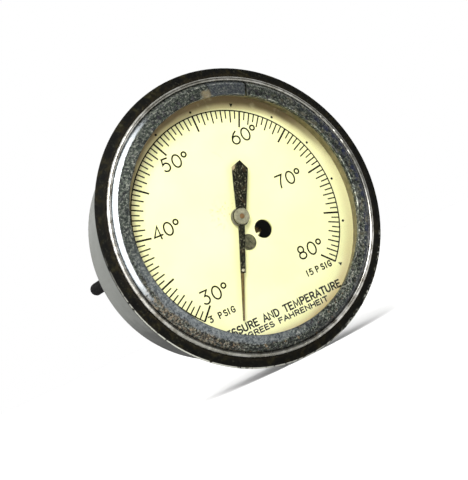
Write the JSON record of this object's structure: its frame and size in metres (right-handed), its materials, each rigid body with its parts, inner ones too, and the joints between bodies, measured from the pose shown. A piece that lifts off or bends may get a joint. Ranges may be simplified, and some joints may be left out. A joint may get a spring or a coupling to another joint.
{
  "type": "pressure gauge",
  "caption": "Flush panel-mount dial pressure gauge with a C-shaped Bourdon tube movement, centre-back stem and rear mounting studs.",
  "frame": {"origin": "on the gauge axis, in the plane of the flange's rear face, which seats on the panel", "axes": "+Y along the gauge axis towards the back of the case, +Z to 12 o'clock, +X to 3 o'clock; the dial faces -Y"},
  "size_m": [0.105, 0.068, 0.105],
  "materials": {
    "case_paint": "light grey satin paint on drawn steel",
    "flange_black": "worn satin black",
    "trim_metal": "aged bright metal",
    "ring_chrome": "dark, pitted chrome",
    "key_chrome": "dark, pitted chrome",
    "window_glass": "clear",
    "gasket_rubber": "matt black",
    "spacer_bronze": "dull olive bronze",
    "support_steel": "plain zinc plate",
    "stud_black": "black oxide",
    "dial_enamel": "matt cream paint",
    "dial_screw_steel": "dull, tarnished",
    "post_brass": "plain",
    "front_plate_brass": "brushed",
    "back_plate_brass": "brushed",
    "pillar_brass": "turned",
    "pillar_screw_steel": "plain",
    "movement_screw_steel": "plain",
    "stop_pin_brass": "plain",
    "socket_brass": "machined, tarnished",
    "socket_screw_steel": "zinc plate",
    "tube_bronze": "drawn phosphor bronze",
    "hairspring_bronze": "polished strip",
    "hairspring_stud_brass": "plain",
    "sector_brass": "stamped and hobbed",
    "sector_arbor_steel": "turned",
    "tail_screw_steel": "plain",
    "link_brass": "stamped",
    "tip_brass": "machined",
    "tip_screw_steel": "plain",
    "pinion_steel": "turned",
    "collet_brass": "turned",
    "hub_metal": "dull, warm grey",
    "pointer_black": "satin black",
    "needle_bronze": "dark olive bronze",
    "rivet_brass": "bright"
  },
  "bodies": {
    "case": {"case_shell": "case_paint", "front_flange": "flange_black", "trim_ring": "trim_metal", "retaining_ring": "ring_chrome", "ring_key": "key_chrome", "window_glass": "window_glass", "window_gasket": "gasket_rubber", "spacer_ring": "spacer_bronze", "dial_support_ring": "support_steel", "mounting_studs": "stud_black", "dial_plate": "dial_enamel", "dial_screw": "dial_screw_steel", "dial_post": "post_brass", "movement_front_plate": "front_plate_brass", "movement_back_plate": "back_plate_brass", "movement_pillars": "pillar_brass", "pillar_screws": "pillar_screw_steel", "movement_screws": "movement_screw_steel", "sector_stop_pins": "stop_pin_brass", "socket_block": "socket_brass", "socket_screws": "socket_screw_steel", "bourdon_tube": "tube_bronze", "hairspring": "hairspring_bronze", "hairspring_stud": "hairspring_stud_brass"},
    "sector": {"sector_gear": "sector_brass", "sector_arbor": "sector_arbor_steel", "tail_pivot_screw": "tail_screw_steel"},
    "link": {"link": "link_brass"},
    "tube_tip": {"tube_tip": "tip_brass", "tip_pivot_screw": "tip_screw_steel"},
    "pointer": {"pinion_arbor": "pinion_steel", "hairspring_collet": "collet_brass", "pointer_hub": "hub_metal", "pointer_blade": "pointer_black", "pointer_needle": "needle_bronze", "pointer_rivet": "rivet_brass"}
  },
  "joints": [
    {"name": "tip_travel", "type": "slide", "parent": "case", "child": "tube_tip", "axis": [0.4695, 0, 0.8829], "range_m": [0, 0.0045], "stiffness_N_per_m": 200, "deforming": ["bourdon_tube"]},
    {"name": "sector_swing", "type": "hinge", "parent": "case", "child": "sector", "pos_m": [0, 0.0136, -0.0162], "axis": [0, 1, 0], "range_deg": [-37.5, 0]},
    {"name": "link_pivot", "type": "hinge", "parent": "sector", "child": "link", "pos_m": [0.0048, 0.0147, -0.0213], "axis": [0, 1, 0], "range_deg": [0, 37.5]},
    {"name": "pointer_turn", "type": "hinge", "parent": "case", "child": "pointer", "pos_m": [0, 0.002, 0], "axis": [0, 1, 0], "range_deg": [0, 300], "deforming": ["hairspring"]}
  ],
  "couplings": [
    {"joint": "sector_swing", "follows": "tip_travel", "rad_per_m": -145.44},
    {"joint": "link_pivot", "follows": "tip_travel", "rad_per_m": 145.44},
    {"joint": "pointer_turn", "follows": "tip_travel", "rad_per_m": 1163.5}
  ]
}
